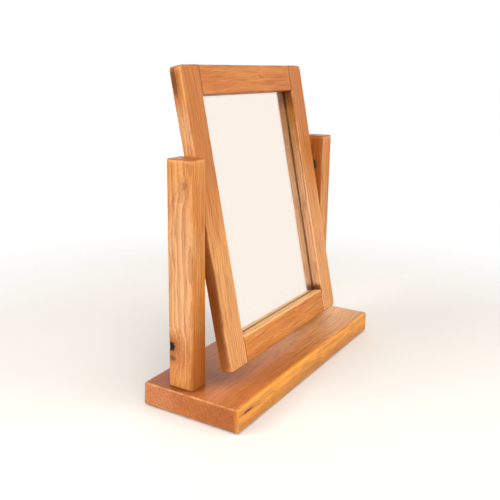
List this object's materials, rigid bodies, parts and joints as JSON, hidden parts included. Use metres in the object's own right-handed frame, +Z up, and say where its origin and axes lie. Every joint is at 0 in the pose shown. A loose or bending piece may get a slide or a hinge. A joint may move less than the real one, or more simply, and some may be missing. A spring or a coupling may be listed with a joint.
{
  "type": "countertop mirror",
  "caption": "Wooden countertop mirror: a recessed mirror in a plank frame tilts on friction pivots between posts on a plank base.",
  "frame": {"origin": "under the middle of the base, on the surface that the pads rest on", "axes": "+X to the viewer's right, -Y towards the viewer (the mirror's front), +Z up"},
  "size_m": [0.5, 0.176, 0.5254],
  "materials": {
    "base_wood": "satin",
    "post_wood": "satin",
    "frame_wood": "satin",
    "dowel_wood": "matte",
    "hardboard": "matte",
    "mirror_glass": "polished",
    "foam": "matte",
    "felt": "matte",
    "black_rubber": "matte",
    "zinc_steel": "satin",
    "brass": "satin"
  },
  "bodies": {
    "stand": {"base_board": "base_wood", "front_left_pad": "felt", "front_right_pad": "felt", "back_left_pad": "felt", "back_right_pad": "felt", "left_post": "post_wood", "right_post": "post_wood", "left_post_screws": "zinc_steel", "right_post_screws": "zinc_steel", "left_pivot_bush": "brass", "right_pivot_bush": "brass", "left_head_washer": "zinc_steel", "right_head_washer": "zinc_steel", "left_wood_plug": "post_wood", "right_wood_plug": "post_wood"},
    "mirror_frame": {"left_stile": "frame_wood", "right_stile": "frame_wood", "top_rail": "frame_wood", "bottom_rail": "frame_wood", "top_left_dowels": "dowel_wood", "top_right_dowels": "dowel_wood", "bottom_left_dowels": "dowel_wood", "bottom_right_dowels": "dowel_wood", "mirror_glass": "mirror_glass", "glass_packing": "foam", "backing_board": "hardboard", "backing_screws": "zinc_steel", "left_pivot_bolt": "zinc_steel", "right_pivot_bolt": "zinc_steel", "left_thread_insert": "brass", "right_thread_insert": "brass", "left_frame_washer": "zinc_steel", "right_frame_washer": "zinc_steel", "left_rubber_washer": "black_rubber", "right_rubber_washer": "black_rubber", "left_spring_washer": "zinc_steel", "right_spring_washer": "zinc_steel"}
  },
  "joints": [
    {"name": "mirror_tilt", "type": "hinge", "parent": "stand", "child": "mirror_frame", "pos_m": [0, 0.026, 0.3385], "axis": [1, 0, 0], "continuous": true}
  ]
}
